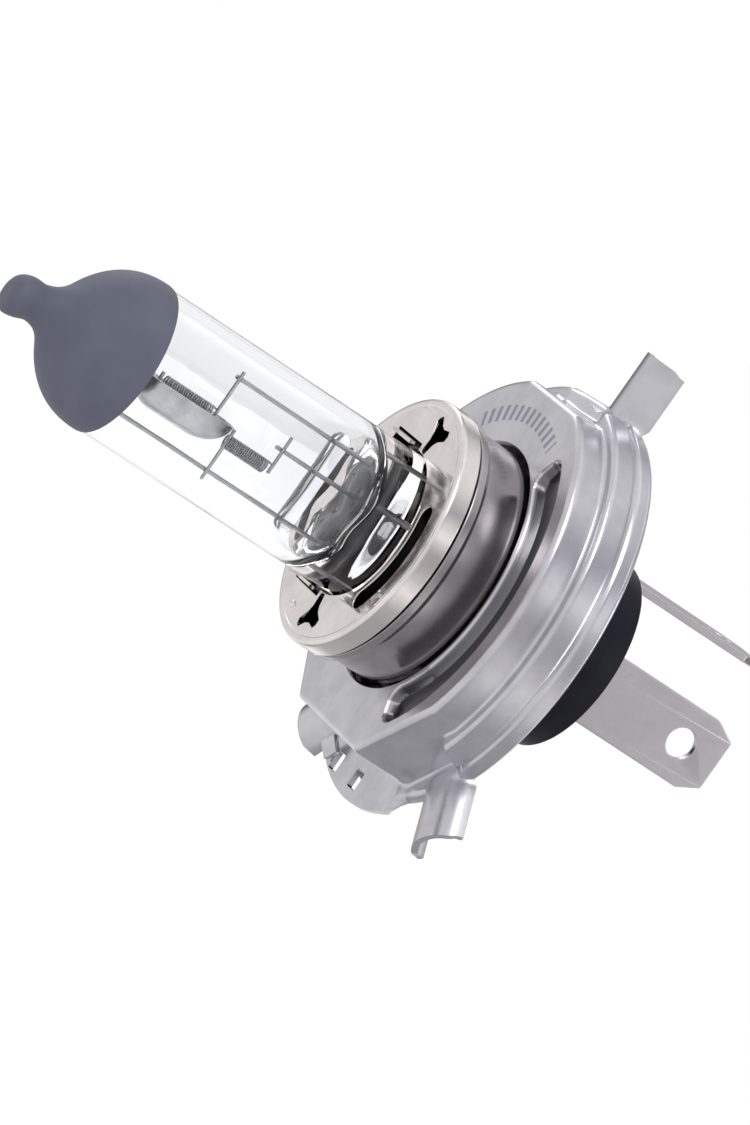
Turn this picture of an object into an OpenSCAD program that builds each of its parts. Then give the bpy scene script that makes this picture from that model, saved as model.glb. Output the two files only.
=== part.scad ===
// Twin-filament halogen headlight bulb with a three-lug prefocus cap and three blade contacts.
// The origin is the centre of the plane that the lugs' front faces seat on.
// +X runs along the bulb axis to the glass tip, and +Z points to the wide reference lug.

/* [Glass] */
// Outer diameter of the glass tube
glass_d = 16; // [14:0.1:17]
// Wall thickness of the glass tube
glass_wall = 1.2; // [0.8:0.1:1.5]
// Distance from the reference plane to the end of the exhaust tip
tip_x = 59.5; // [58:0.5:60]
// Diameter of the solid exhaust tip
pip_d = 4; // [3:0.1:5]
// Distance from the reference plane to the floor of the gas space
chamber_x = 17.4; // [17:0.1:18]
// Thickness of the flat pinch seal
pinch_t = 3.8; // [3:0.1:4.2]
// Width of the flat pinch seal
pinch_w = 13; // [12:0.1:14]
// Distance from the reference plane to the edge of the grey top coating
coat_edge_x = 45.6; // [44:0.1:46]
// Thickness of the grey top coating
coat_t = 0.2; // [0.1:0.05:0.3]

/* [Filaments and leads] */
// Diameter of the three lead wires
lead_d = 0.46; // [0.4:0.02:0.8]
// Diameter of the cross wires that carry the filaments and the shield
leg_d = 0.36; // [0.3:0.02:0.6]
// Outer diameter of both filament coils
coil_d = 1.5; // [1.2:0.1:1.8]
// Diameter of the coiled filament wire
coil_wire_d = 0.24; // [0.2:0.02:0.28]
// Number of turns in each coil
coil_turns = 12; // [8:1:14]
// Height of the low-beam coil above the bulb axis
low_coil_z = 0.3; // [0:0.1:0.6]
// Height of the high-beam coil above the bulb axis
high_coil_z = -1.2; // [-1.4:0.1:-1]
// Length of the low-beam shield
shield_len = 11.8; // [11:0.1:12]
// Outer radius of the low-beam shield
shield_r = 3.1; // [2.8:0.1:3.2]
// Sheet thickness of the low-beam shield
shield_t = 0.25; // [0.2:0.05:0.4]

/* [Cap] */
// Sheet thickness of the flange and its lugs
sheet = 0.6; // [0.5:0.05:0.8]
// Diameter of the flange rim that centres in the lamp
rim_d = 41.8; // [40:0.1:42]
// Largest diameter of the flange body behind the rim
skirt_d = 44.4; // [43:0.1:45]
// Distance from the reference plane to the flange's front face
face_x = 6.3; // [6:0.1:6.6]
// Distance across the lugs, from the axis to a lug's end
lug_r = 28.6; // [28:0.1:29]
// Width of the wide reference lug at the top
top_lug_w = 8; // [7:0.1:8.5]
// Width of the two lower lugs
low_lug_w = 7; // [6:0.1:7.5]
// Angle from the top lug to each lower lug
low_lug_angle = 139; // [135:1:141]
// Outer diameter of the cap sleeve
sleeve_d = 26.2; // [26:0.1:26.4]
// Outer diameter of the front collar ring
collar_d = 27.6; // [27.4:0.1:28]
// Distance from the reference plane to the front face of the collar ring
collar_x = 14.7; // [14.5:0.1:15]

/* [Contacts] */
// Diameter of the insulator behind the flange
insulator_d = 21; // [21:0.1:22]
// Distance from the reference plane to the insulator's rear face
insulator_back = 11.5; // [11:0.1:12]
// Width of each blade contact
blade_w = 7.8; // [7.6:0.1:8]
// Thickness of each blade contact
blade_t = 0.8; // [0.7:0.05:0.85]
// Distance from the reference plane to the blades' ends
blade_end = 27.9; // [27:0.1:29]
// Diameter of the latch hole in each blade
blade_hole_d = 3.2; // [3:0.1:3.4]
// Height of the top blade above the bulb axis
top_blade_z = 9.2; // [9:0.1:9.3]
// Distance of the two upright blades from the bulb axis
side_blade_y = 6.8; // [6.5:0.1:7]

/* [Hidden] */

// Facet counts of large and small round shapes
fine = 120;
small = 40;
// A hair added to cutting shapes so that they pass through
eps = 0.05;

glass_r = glass_d / 2;
bore_r = glass_r - glass_wall;
pip_r = pip_d / 2;
dome_x = 46.2;
// Where the dome's round shoulder turns into the hollow flank below the exhaust tip
flank = [5.3, 52];
pip_x = 57;
// Where the tube starts to narrow to the pinch, and where the pinch has its full thinness
taper_x1 = 13.8;
taper_x0 = 10.4;
pinch_back = -0.5;
pinch_half = pinch_t / 2;

lead_r = lead_d / 2;
leg_r = leg_d / 2;
coil_r = coil_d / 2;
// Heights of the low-beam, high-beam and common leads
lead_z = [4.5, 1, -4.6];
// Forward ends of the same three leads
lead_end = [35.2, 27.6, 43.4];
bridge_r = 1.05;
bridge_x = 22.3;
bridge_half = 5.8;
foil_w = 2.4;
foil_t = 0.1;
foil_x0 = 2;
foil_x1 = 9.5;

shield_x0 = 32.4;
shield_x1 = shield_x0 + shield_len;
shield_z = 0.3;
// The cross wires pass beside the leads and touch them
leg_y = lead_r + leg_r;

rim_r = rim_d / 2;
skirt_r = skirt_d / 2;
step_x = 2.9;
rear_x = -1.6;
flange_hole_r = 13.6;
recess_r = 18.4;
recess_span = [28, 148];
tongue_r = 24;
tongue_span = 25;
// Height of the flat wall where the flange folds down to the tongue
fold_z = -18.9;
plate_t = 0.6;

sleeve_r = sleeve_d / 2;
sleeve_t = 0.5;
collar_r = collar_d / 2;
collar_t = 0.6;
collar_hole_r = glass_r + 0.25;
clip_t = 0.35;
// Distance of the two relief cuts from the axis, and the length of their arms
star_r = 9.8;
star_arm = 1.7;

insulator_r = insulator_d / 2;
neck_r = 9.9;
cup_floor = -4;
cup_front = 4;
tail_w = 3;
tail_front = -1.2;
blade_centres = [[0, top_blade_z], [-side_blade_y, -1.8], [side_blade_y, -1]];

// ---------- helpers ----------

// A point of a cubic curve through p[0] and p[3], pulled by p[1] and p[2]
function curve_point(p, t) =
    pow(1 - t, 3) * p[0] + 3 * t * pow(1 - t, 2) * p[1] + 3 * t * t * (1 - t) * p[2] + pow(t, 3) * p[3];
function curve(p, steps) = [for (i = [0:steps]) curve_point(p, i / steps)];

// A quarter arc about [r, x], from the first angle to the second
function arc(r, x, radius, from, to, steps) =
    [for (i = [0:steps]) let (a = from + (to - from) * i / steps) [r + radius * cos(a), x + radius * sin(a)]];

// A closed outline of [radius, x] points, turned about the bulb axis
module turned(outline, facets = fine) {
    rotate([0, 90, 0]) rotate_extrude($fn = facets) polygon(outline);
}

// A round bar along the bulb axis from x0 to x1
module bar(r, x0, x1, facets = small) {
    translate([x0, 0, 0]) rotate([0, 90, 0]) cylinder(h = x1 - x0, r = r, $fn = facets);
}

// Turns its children about the bulb axis, from the top towards +Y
module clock(angle) {
    rotate([-angle, 0, 0]) children();
}

// A slab across the axis whose outline is drawn looking along +X, as [y, z]
module slab(x0, x1) {
    translate([x0, 0, 0]) rotate([90, 0, 90]) linear_extrude(x1 - x0) children();
}

// A flat sector of a ring between two clock angles
module sector(r0, r1, from, to, steps = 24) {
    turn = (to - from) / steps;
    outer = [for (i = [0:steps]) [r1 * sin(from + turn * i), r1 * cos(from + turn * i)]];
    inner = [for (i = [steps:-1:0]) [r0 * sin(from + turn * i), r0 * cos(from + turn * i)]];
    polygon(concat(outer, inner));
}

// A wire of straight runs through a list of points, each run reaching a little past its bend
module wire(points, r) {
    last = len(points) - 2;
    for (i = [0:last]) {
        step = points[i + 1] - points[i];
        length = norm(step);
        past = i < last ? r / 2 : 0;
        translate(points[i])
            rotate([0, acos(step[2] / length), atan2(step[1], step[0])])
                cylinder(h = length + past, r = r, $fn = small);
    }
}

// ---------- glass ----------

// The envelope's outer outline, grown by g for the coating
function dome_outline(g) = concat(
    [[0, taper_x1], [glass_r + g, taper_x1]],
    curve([[glass_r + g, dome_x], [glass_r + g, 48.8 + g], [6.8 + g, 50.6 + g], flank + [g, g]], 12),
    curve([flank + [g, g], [3.8 + g, 53.4 + g], [pip_r + 0.2 + g, 53.8 + g], [pip_r + g, pip_x]], 10),
    arc(pip_r + g - 1, tip_x + g - coat_t - 1, 1, 0, 90, 6),
    [[0, tip_x + g - coat_t]]
);

// The gas space inside the envelope
gas_outline = concat(
    [[0, chamber_x], [bore_r - 1.5, chamber_x]],
    arc(bore_r - 1.5, chamber_x + 1.5, 1.5, -90, 0, 6),
    curve([[bore_r, dome_x - 0.4], [bore_r, 48], [5.6, 49.5], [4.2, 50.8]], 10),
    curve([[4.2, 50.8], [2.9, 52], [0.7, 52.2], [0.6, 53.8]], 5),
    [[0, 53.8]]
);

module lead_bar(i, from, to) {
    translate([0, 0, lead_z[i]]) bar(lead_r, from, to);
}

module foil(i) {
    translate([foil_x0, -foil_t / 2, lead_z[i] - foil_w / 2]) cube([foil_x1 - foil_x0, foil_t, foil_w]);
}

module glass_envelope() {
    color([0.9, 0.93, 0.95, 0.35]) difference() {
        union() {
            turned(dome_outline(0));
            intersection() {
                bar(glass_r, taper_x0 - 1, taper_x1 + eps, fine);
                translate([0, 0, -glass_d]) linear_extrude(2 * glass_d) polygon([
                    [taper_x0, -pinch_half], [taper_x1 + eps, -glass_r],
                    [taper_x1 + eps, glass_r], [taper_x0, pinch_half]
                ]);
            }
            translate([pinch_back, -pinch_half, -pinch_w / 2])
                cube([taper_x0 + 1 - pinch_back, pinch_t, pinch_w]);
        }
        turned(gas_outline);
        for (i = [0:2]) {
            foil(i);
            lead_bar(i, foil_x1, chamber_x + 1);
            lead_bar(i, pinch_back - 1, foil_x0);
        }
    }
}

module top_coating() {
    color([0.33, 0.35, 0.42]) difference() {
        turned(dome_outline(coat_t));
        turned(dome_outline(0));
        bar(glass_d, taper_x0, coat_edge_x);
    }
}

// ---------- filaments, leads and shield ----------

module quartz_bridge() {
    color([0.85, 0.87, 0.9, 0.6]) difference() {
        translate([bridge_x, 0, -bridge_half]) cylinder(h = 2 * bridge_half, r = bridge_r, $fn = small);
        for (i = [0:2]) lead_bar(i, bridge_x - 2, bridge_x + 2);
    }
}

module lead(i) {
    color([0.62, 0.62, 0.64]) lead_bar(i, foil_x1, lead_end[i]);
}

// A close helix of wire from x0 to x1, centred on the height z
module coil(x0, x1, z) {
    sides = 5;
    per_turn = 14;
    rings = coil_turns * per_turn;
    wire_r = coil_wire_d / 2;
    mean_r = coil_r - wire_r;
    points = [
        for (k = [0:rings], s = [0:sides - 1])
            let (
                turn = 360 * k / per_turn,
                around = 360 * s / sides,
                radius = mean_r + wire_r * cos(around),
                x = x0 + wire_r + (x1 - x0 - coil_wire_d) * k / rings + wire_r * sin(around)
            )
            [x, radius * sin(turn), z + radius * cos(turn)]
    ];
    walls = [
        for (k = [0:rings - 1], s = [0:sides - 1])
            let (a = k * sides + s, b = k * sides + (s + 1) % sides)
            [a, b, b + sides, a + sides]
    ];
    first = [for (s = [sides - 1:-1:0]) s];
    last = [for (s = [0:sides - 1]) rings * sides + s];
    polyhedron(points, concat(walls, [first, last]));
}

low_rear_x = lead_end[0] - leg_r - 0.1;
low_front_x = 41.6;
high_rear_x = 26.9;
shield_leg_x = 32.9;

module low_coil() {
    color([0.45, 0.45, 0.48]) coil(low_rear_x + leg_r + 0.02, low_front_x - leg_r - 0.02, low_coil_z);
}

module high_coil() {
    color([0.45, 0.45, 0.48]) coil(high_rear_x + leg_r + 0.02, shield_leg_x - leg_r - 0.02, high_coil_z);
}

// An upright cross wire, off the centre line by y
module leg(x, y, z0, z1) {
    color([0.66, 0.66, 0.68]) translate([x, y, z0]) cylinder(h = z1 - z0, r = leg_r, $fn = small);
}

module low_rear_leg() {
    leg(low_rear_x, leg_y, low_coil_z - 0.4, lead_z[0] + 0.8);
}

module low_front_leg() {
    leg(low_front_x, 0, shield_z - shield_r + shield_t + 0.1, low_coil_z + 0.8);
}

module high_rear_leg() {
    leg(high_rear_x, leg_y, high_coil_z - 0.4, lead_z[1] + 1.6);
}

module shield_leg() {
    leg(shield_leg_x - 0.6, leg_y, lead_z[2] - 1, shield_z - 0.1);
}

// A bar with two round ends, as the shield is before its top is cut away
module capsule(r) {
    ends = [shield_x0 + shield_r, shield_x1 - shield_r];
    bar(r, ends[0], ends[1], small);
    for (x = ends) translate([x, 0, 0]) sphere(r = r, $fn = small);
}

// A boat-shaped trough, open at the top and closed at both ends
module low_beam_shield() {
    color([0.72, 0.72, 0.74]) translate([0, 0, shield_z]) difference() {
        capsule(shield_r);
        capsule(shield_r - shield_t);
        translate([shield_x0 - 1, -10, 0]) cube([20, 20, 10]);
    }
}

module outer_lead(i, route) {
    start = [[foil_x0, 0, lead_z[i]], [pinch_back - 0.6, 0, lead_z[i]]];
    color([0.7, 0.68, 0.64]) wire(concat(start, route), lead_r);
}

module outer_lead_low() {
    outer_lead(0, [[tail_front - 1, 0, top_blade_z - blade_t / 2 - lead_r]]);
}

module outer_lead_high() {
    outer_lead(1, [[tail_front - 1, -side_blade_y + blade_t / 2 + lead_r, -1]]);
}

module outer_lead_common() {
    outer_lead(2, [[tail_front - 1, side_blade_y - blade_t / 2 - lead_r, -2]]);
}

// ---------- cap ----------

// A three-armed relief cut in the collar face at the top and the bottom
module star_cut() {
    for (a = [90, 215, 325]) rotate(a) translate([-0.2, -0.45]) square([star_arm, 0.9]);
}

module collar_ring() {
    back = 12.5;
    lip = 0.9;
    outline = concat(
        [[collar_hole_r, collar_x - collar_t], [collar_hole_r, collar_x], [collar_r - lip, collar_x]],
        arc(collar_r - lip, collar_x - lip, lip, 90, 0, 8),
        [[collar_r, back], [sleeve_r + eps, back], [sleeve_r + eps, collar_x - collar_t]]
    );
    color([0.85, 0.83, 0.82]) difference() {
        turned(outline);
        slab(collar_x - 2, collar_x + 1) {
            for (side = [1, -1]) {
                sector(8.9, 9.7, side * 66, side * 132);
                translate([0, side * star_r]) rotate(side > 0 ? 0 : 180) star_cut();
                translate([-7, side > 0 ? 4 : -8.95]) square([6.6, 4.95]);
            }
        }
    }
}

// A thin spring ring under the collar face, with two leaves that press on the glass
module glass_clip() {
    front = collar_x - collar_t - eps;
    leaf_len = 5.2;
    leaf_up = 1.1;
    color([0.82, 0.8, 0.78]) {
        difference() {
            bar(sleeve_r - sleeve_t - 0.1, front - clip_t, front, fine);
            bar(collar_hole_r + 0.55, front - 1, front + 1, fine);
            translate([front - 1, -7.2, -9.3]) cube([2, 6.9, 18.6]);
        }
        for (side = [1, -1])
            translate([front - clip_t, -6.3, side > 0 ? 8.35 : -8.35 - clip_t])
                cube([collar_x + leaf_up - front + clip_t, leaf_len, clip_t]);
        for (side = [1, -1])
            translate([front - clip_t, -6.3, side > 0 ? 8.35 : -9.6])
                cube([clip_t, leaf_len, 1.25]);
    }
}

// A web across the sleeve with two jaws that grip the pinch seal
module pinch_clamp() {
    web_x = 5;
    jaw_t = 0.6;
    web_r = sleeve_r - sleeve_t - eps;
    jaw_y = pinch_half + eps;
    color([0.6, 0.6, 0.62]) {
        difference() {
            bar(web_r, web_x, web_x + jaw_t, fine);
            translate([web_x - 1, -jaw_y, -pinch_w / 2 - eps]) cube([3, 2 * jaw_y, pinch_w + 2 * eps]);
        }
        for (side = [1, -1])
            translate([web_x, side > 0 ? jaw_y : -jaw_y - jaw_t, -5.4])
                cube([taper_x0 - web_x - 0.3, jaw_t, 10.8]);
    }
}

module cap_sleeve() {
    front = collar_x - collar_t - eps;
    bead = [11.2, 12.3];
    bead_r = sleeve_r + 0.6;
    inner = sleeve_r - sleeve_t;
    lip_r = 16;
    outline = [
        [inner, front], [sleeve_r, front], [sleeve_r, bead[1]], [bead_r, bead[1] - 0.3],
        [bead_r, bead[0] + 0.3], [sleeve_r, bead[0]], [sleeve_r, rear_x + sleeve_t],
        [lip_r, rear_x + sleeve_t], [lip_r, rear_x], [inner, rear_x]
    ];
    color([0.62, 0.6, 0.62]) turned(outline);
}

// The front face and rim of the flange, turned from one sheet
function rim_outline() = concat(
    [[flange_hole_r, face_x - 2 * sheet], [flange_hole_r, face_x], [rim_r - sheet, face_x]],
    arc(rim_r - sheet, face_x - sheet, sheet, 90, 0, 8),
    [[rim_r, -sheet], [rim_r - sheet, -sheet], [rim_r - sheet, face_x - 2 * sheet]]
);

// The step behind the rim and the skirt that runs back from it
function skirt_outline() = concat(
    [[rim_r - sheet / 2, step_x - sheet], [rim_r - sheet / 2, step_x], [skirt_r - sheet, step_x]],
    arc(skirt_r - sheet, step_x - sheet, sheet, 90, 0, 6),
    [[skirt_r, rear_x], [skirt_r - sheet, rear_x], [skirt_r - sheet, step_x - sheet]]
);

// A wedge about the axis that spans the lower tongue
module tongue_wedge() {
    reach = 2 * skirt_r;
    slab(-skirt_r, skirt_r) polygon([
        [0, 0], [reach * sin(tongue_span), -reach * cos(tongue_span)],
        [-reach * sin(tongue_span), -reach * cos(tongue_span)]
    ]);
}

// A lug pressed to an arch: a flat crest at the reference plane and two swept-back sides
module lug(width) {
    crest = 1.5;
    drop = 2.6;
    half = width / 2;
    side = [[0, crest], [-0.8, 0.7 * half], [-drop, half]];
    under = [[-drop - 0.25, half - 0.6], [-1.35, 0.7 * half - 0.45], [-sheet, crest - 0.25]];
    arch = concat(side, under);
    other = [for (i = [5:-1:0]) [arch[i][0], -arch[i][1]]];
    translate([0, 0, rim_r - sheet / 2]) linear_extrude(lug_r - rim_r + sheet / 2)
        polygon(concat(arch, other));
}

// Everything below the fold of the tongue
module below_fold(z) {
    translate([-skirt_r, -skirt_r, z - 2 * skirt_r]) cube(2 * skirt_r);
}

module prefocus_flange() {
    color([0.78, 0.78, 0.82]) {
        difference() {
            turned(rim_outline());
            slab(face_x - sheet, face_x + 1) for (side = [1, -1])
                sector(flange_hole_r - 1, recess_r, side * recess_span[0], side * recess_span[1]);
            below_fold(fold_z);
        }
        intersection() {
            bar(rim_r, -sheet, face_x, fine);
            translate([-skirt_r, -skirt_r, fold_z]) cube([2 * skirt_r, 2 * skirt_r, sheet]);
        }
        difference() {
            turned(skirt_outline());
            tongue_wedge();
        }
        intersection() {
            difference() {
                bar(tongue_r, -sheet, 0, fine);
                for (y = [0, -5.8]) translate([0, y, -21.9]) cube([5, 2, 2], center = true);
            }
            tongue_wedge();
            below_fold(fold_z + sheet / 2);
        }
        lug(top_lug_w);
        for (side = [1, -1]) clock(side * low_lug_angle) lug(low_lug_w);
        clock(-161) translate([-sheet / 2, 0, 22.4]) rotate([45, 0, 0])
            translate([0, -1, -1]) cube([1.9, 2, 2]);
    }
}

module rear_plate() {
    color([0.74, 0.74, 0.78]) difference() {
        bar(skirt_r - 0.15, rear_x - plate_t, rear_x, fine);
        bar(neck_r + eps, rear_x - 2, rear_x + 1, fine);
    }
}

// ---------- insulator and contacts ----------

// The slot that each blade passes through
module blade_slot(centre, upright) {
    w = upright ? blade_t : tail_w;
    h = upright ? tail_w : blade_t;
    translate([cup_floor - 1, centre[0] - w / 2, centre[1] - h / 2]) cube([3, w, h]);
    bw = upright ? blade_t : blade_w;
    bh = upright ? blade_w : blade_t;
    translate([-insulator_back - 1, centre[0] - bw / 2, centre[1] - bh / 2])
        cube([insulator_back + 1 + cup_floor - 1, bw, bh]);
}

module insulator() {
    chamfer = 0.5;
    outline = [
        [0, -insulator_back], [insulator_r - chamfer, -insulator_back],
        [insulator_r, -insulator_back + chamfer], [insulator_r, rear_x - plate_t],
        [neck_r, rear_x - plate_t], [neck_r, cup_front], [neck_r - 1, cup_front],
        [neck_r - 1, rear_x], [neck_r - 0.2, rear_x], [neck_r - 0.2, cup_floor], [0, cup_floor]
    ];
    color([0.09, 0.09, 0.12]) difference() {
        turned(outline);
        blade_slot(blade_centres[0], false);
        blade_slot(blade_centres[1], true);
        blade_slot(blade_centres[2], true);
    }
}

// A blade drawn flat, its width along Y, with clipped end corners and a narrow tail
module blade(centre, upright) {
    half = blade_w / 2;
    clip = [2.4, 1.2];
    shoulder = cup_floor - 1;
    outline = [
        [-blade_end, half - clip[1]], [-blade_end + clip[0], half], [shoulder, half],
        [shoulder, tail_w / 2], [tail_front, tail_w / 2], [tail_front, -tail_w / 2],
        [shoulder, -tail_w / 2], [shoulder, -half], [-blade_end + clip[0], -half],
        [-blade_end, clip[1] - half]
    ];
    color([0.76, 0.74, 0.75]) translate([0, centre[0], centre[1]]) rotate([upright ? 90 : 0, 0, 0])
        difference() {
            translate([0, 0, -blade_t / 2]) linear_extrude(blade_t) polygon(outline);
            translate([4.6 - blade_end, 0, -1]) cylinder(h = 2, d = blade_hole_d, $fn = small);
        }
}

module solder_joints() {
    bead_r = 0.78;
    // Where each outer lead lies against its blade's tail
    seats = [
        [[0, top_blade_z - blade_t / 2], [90, 0]],
        [[-side_blade_y + blade_t / 2, -1], [0, 90]],
        [[side_blade_y - blade_t / 2, -2], [0, -90]]
    ];
    color([0.8, 0.8, 0.82]) for (i = [0:2]) difference() {
        translate([tail_front - 1, seats[i][0][0], seats[i][0][1]]) sphere(r = bead_r, $fn = small);
        blade_at(i);
        outer_lead_at(i);
    }
}

module blade_at(i) {
    blade(blade_centres[i], i > 0);
}

module outer_lead_at(i) {
    if (i == 0) outer_lead_low();
    if (i == 1) outer_lead_high();
    if (i == 2) outer_lead_common();
}

glass_envelope();
top_coating();
quartz_bridge();
lead(0);  // lead_low
lead(1);  // lead_high
lead(2);  // lead_common
low_coil();
high_coil();
low_rear_leg();
low_front_leg();
high_rear_leg();
shield_leg();
low_beam_shield();
foil(0);  // foil_low
foil(1);  // foil_high
foil(2);  // foil_common
outer_lead_low();
outer_lead_high();
outer_lead_common();
collar_ring();
glass_clip();
pinch_clamp();
cap_sleeve();
prefocus_flange();
rear_plate();
insulator();
blade_at(0);  // blade_low
blade_at(1);  // blade_high
blade_at(2);  // blade_ground
solder_joints();
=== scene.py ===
"""A twin-filament halogen headlight bulb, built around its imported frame.

Lengths inside the mesh code are millimetres. +X runs along the bulb axis to the glass tip, and +Z
points to the wide reference lug. A clock angle is measured about the axis from the top towards +Y.
"""

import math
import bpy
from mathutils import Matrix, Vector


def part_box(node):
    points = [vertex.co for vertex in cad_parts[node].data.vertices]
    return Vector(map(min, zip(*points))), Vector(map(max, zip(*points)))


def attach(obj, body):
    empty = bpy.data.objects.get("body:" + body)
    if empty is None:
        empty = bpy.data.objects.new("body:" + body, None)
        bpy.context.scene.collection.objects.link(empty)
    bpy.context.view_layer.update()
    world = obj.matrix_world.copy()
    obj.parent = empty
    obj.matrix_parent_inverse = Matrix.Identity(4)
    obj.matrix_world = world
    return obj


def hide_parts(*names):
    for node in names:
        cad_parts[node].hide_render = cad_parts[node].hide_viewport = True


bl_info = {
    "name": "Headlight Bulb",
    "version": (1, 0, 0),
    "blender": (4, 5, 0),
    "location": "3D View > Sidebar > Bulb",
    "description": "Builds a halogen headlight bulb around its CAD frame",
    "category": "Object",
}

import bmesh
import bpy
from bpy.props import FloatProperty, FloatVectorProperty, IntProperty, PointerProperty
from mathutils import Matrix, Quaternion, Vector

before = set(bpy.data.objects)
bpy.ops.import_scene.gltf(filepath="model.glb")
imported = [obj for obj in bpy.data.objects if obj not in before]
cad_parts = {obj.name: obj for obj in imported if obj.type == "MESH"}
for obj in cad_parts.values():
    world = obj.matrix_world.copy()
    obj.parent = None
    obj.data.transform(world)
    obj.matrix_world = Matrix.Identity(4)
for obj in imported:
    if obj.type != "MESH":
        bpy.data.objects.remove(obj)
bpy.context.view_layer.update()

MM = 0.001
TAU = math.tau
ROOT = "root"


def span(node):
    """The lowest and highest corner of a frame node, in millimetres."""
    low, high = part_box(node)
    return Vector(low) / MM, Vector(high) / MM


GLASS_LOW, GLASS_HIGH = span("glass_envelope")
COAT_LOW, COAT_HIGH = span("top_coating")
BRIDGE_LOW, BRIDGE_HIGH = span("quartz_bridge")
COLLAR_LOW, COLLAR_HIGH = span("collar_ring")
SLEEVE_LOW, SLEEVE_HIGH = span("cap_sleeve")
FLANGE_LOW, FLANGE_HIGH = span("prefocus_flange")
PLATE_LOW, PLATE_HIGH = span("rear_plate")
INSULATOR_LOW, INSULATOR_HIGH = span("insulator")
SHIELD_LOW, SHIELD_HIGH = span("low_beam_shield")


# ---------------------------------------------------------------- small maths


def smooth(low, high, value):
    """0 below low, 1 above high and a soft S between."""
    t = min(1.0, max(0.0, (value - low) / (high - low)))
    return t * t * (3 - 2 * t)


def blend(a, b, share):
    return a + (b - a) * share


def clock(radius, angle, x=0.0):
    """A point at a clock angle in degrees and a distance from the axis."""
    turn = math.radians(angle)
    return Vector((x, radius * math.sin(turn), radius * math.cos(turn)))


def bezier(points, steps):
    """Points along a cubic curve, both ends included."""
    p = [Vector(point) for point in points]
    out = []
    for i in range(steps + 1):
        t = i / steps
        s = 1 - t
        out.append(tuple(s**3 * p[0] + 3 * s * s * t * p[1] + 3 * s * t * t * p[2] + t**3 * p[3]))
    return out


def rounded(corners, steps=5):
    """A closed outline of (u, v, fillet) corners with each corner rounded."""
    points = []
    for i, (u, v, fillet) in enumerate(corners):
        here = Vector((u, v))
        before = Vector(corners[i - 1][:2]) - here
        after = Vector(corners[(i + 1) % len(corners)][:2]) - here
        if fillet <= 0:
            points.append((u, v))
            continue
        half = before.angle(after) / 2
        reach = min(fillet / math.tan(half), before.length * 0.49, after.length * 0.49)
        start = here + before.normalized() * reach
        end = here + after.normalized() * reach
        for s in range(steps + 1):
            t = s / steps
            points.append(tuple(start * (1 - t) ** 2 + here * 2 * t * (1 - t) + end * t * t))
    return points


def ring_points(radius, count, centre=(0.0, 0.0)):
    """A circle as (u, v) points."""
    return [
        (centre[0] + radius * math.cos(TAU * i / count), centre[1] + radius * math.sin(TAU * i / count))
        for i in range(count)
    ]


def sector_points(inner, outer, start, end, steps=24):
    """A slot between two clock angles with round ends, as (y, z) points."""
    middle = (inner + outer) / 2
    half = (outer - inner) / 2
    points = []
    for i in range(steps + 1):
        points.append(clock(outer, blend(start, end, i / steps))[1:])
    cap = clock(middle, end)
    for i in range(1, 8):
        swing = end + math.copysign(180 * i / 8, end - start)
        points.append((cap + clock(half, swing))[1:])
    for i in range(steps + 1):
        points.append(clock(inner, blend(end, start, i / steps))[1:])
    cap = clock(middle, start)
    for i in range(1, 8):
        swing = start + 180 + math.copysign(180 * i / 8, end - start)
        points.append((cap + clock(half, swing))[1:])
    return [tuple(p) for p in points]


# ---------------------------------------------------------------- mesh making


def lathe(outline, segments=160, warp=None):
    """Turns a closed (radius, x) outline about the bulb axis."""
    verts, faces = [], []
    rows = len(outline)
    for k in range(segments):
        turn = TAU * k / segments
        for radius, x in outline:
            point = Vector((x, radius * math.sin(turn), radius * math.cos(turn)))
            verts.append(warp(point) if warp else point)
    for k in range(segments):
        here, there = k * rows, (k + 1) % segments * rows
        for j in range(rows):
            n = (j + 1) % rows
            faces.append((here + j, here + n, there + n, there + j))
    return verts, faces


def tube(path, radius, sides=16):
    """Sweeps a round section along a path of points, its ends softly rounded."""
    path = [Vector(p) for p in path]
    first = (path[1] - path[0]).normalized()
    last = (path[-1] - path[-2]).normalized()
    edge = radius * 0.35
    path = [path[0], path[0] + first * edge] + path[1:-1] + [path[-1] - last * edge, path[-1]]
    widths = [radius - edge] + [radius] * (len(path) - 2) + [radius - edge]
    tangents = []
    for i in range(len(path)):
        ahead = path[min(i + 1, len(path) - 1)]
        behind = path[max(i - 1, 0)]
        tangents.append((ahead - behind).normalized())
    side = tangents[0].orthogonal().normalized()
    verts, faces = [], []
    for i, point in enumerate(path):
        if i:
            side = (tangents[i - 1].rotation_difference(tangents[i]) @ side).normalized()
        up = tangents[i].cross(side)
        for k in range(sides):
            turn = TAU * k / sides
            verts.append(point + (side * math.cos(turn) + up * math.sin(turn)) * widths[i])
    for i in range(len(path) - 1):
        for k in range(sides):
            n = (k + 1) % sides
            faces.append((i * sides + k, i * sides + n, (i + 1) * sides + n, (i + 1) * sides + k))
    faces.append(tuple(reversed(range(sides))))
    faces.append(tuple(range((len(path) - 1) * sides, len(path) * sides)))
    return verts, faces


def grid(rows, columns, point, wrap=False):
    """A sheet of quads whose corners are point(row, column)."""
    verts = [point(i, j) for i in range(rows) for j in range(columns)]
    faces = []
    for i in range(rows - 1):
        for j in range(columns if wrap else columns - 1):
            n = (j + 1) % columns
            faces.append((i * columns + j, i * columns + n, (i + 1) * columns + n, (i + 1) * columns + j))
    return verts, faces


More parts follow.
